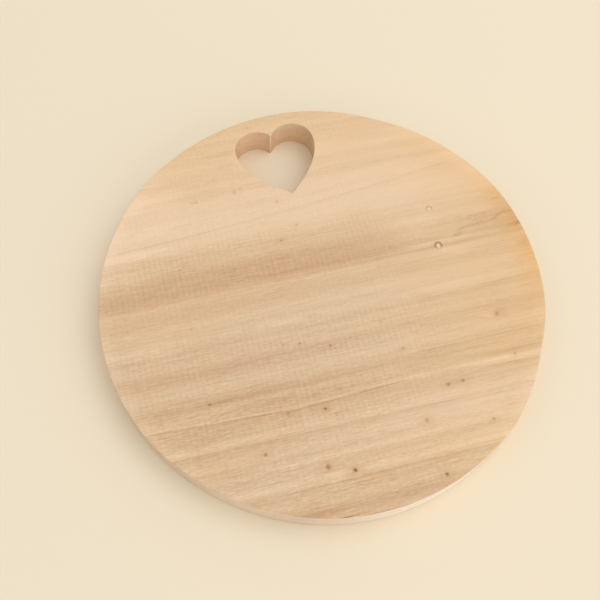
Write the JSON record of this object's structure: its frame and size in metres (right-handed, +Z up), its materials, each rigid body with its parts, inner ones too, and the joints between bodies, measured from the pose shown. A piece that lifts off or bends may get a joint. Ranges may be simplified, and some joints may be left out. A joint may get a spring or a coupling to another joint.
{
  "type": "round cutting board",
  "caption": "Round flat wooden cutting board, glued up edge to edge from parallel staves, with softened arrises and a heart-shaped hole sawn through near the rim to grip or hang it by.",
  "frame": {"origin": "on the underside, at the centre that the round outline was drawn from", "axes": "+X along the grain and the staves, +Y across the grain towards the heart-shaped hole, +Z up out of the cutting face"},
  "size_m": [0.3002, 0.3, 0.022],
  "materials": {
    "board_wood": "planed bare pale wood, matt, with fine grain streaks, pin knots and faint planer ribs",
    "wood_glue": "set wood glue scraped flush, satin"
  },
  "bodies": {
    "root": {"stave_1": "board_wood", "stave_2_left": "board_wood", "stave_2_right": "board_wood", "stave_3": "board_wood", "stave_4": "board_wood", "stave_5": "board_wood", "stave_6": "board_wood", "stave_7": "board_wood", "stave_8": "board_wood", "stave_9": "board_wood", "glue_line_1_left": "wood_glue", "glue_line_1_right": "wood_glue", "glue_line_2_left": "wood_glue", "glue_line_2_right": "wood_glue", "glue_line_3": "wood_glue", "glue_line_4": "wood_glue", "glue_line_5": "wood_glue", "glue_line_6": "wood_glue", "glue_line_7": "wood_glue", "glue_line_8": "wood_glue"}
  },
  "joints": []
}
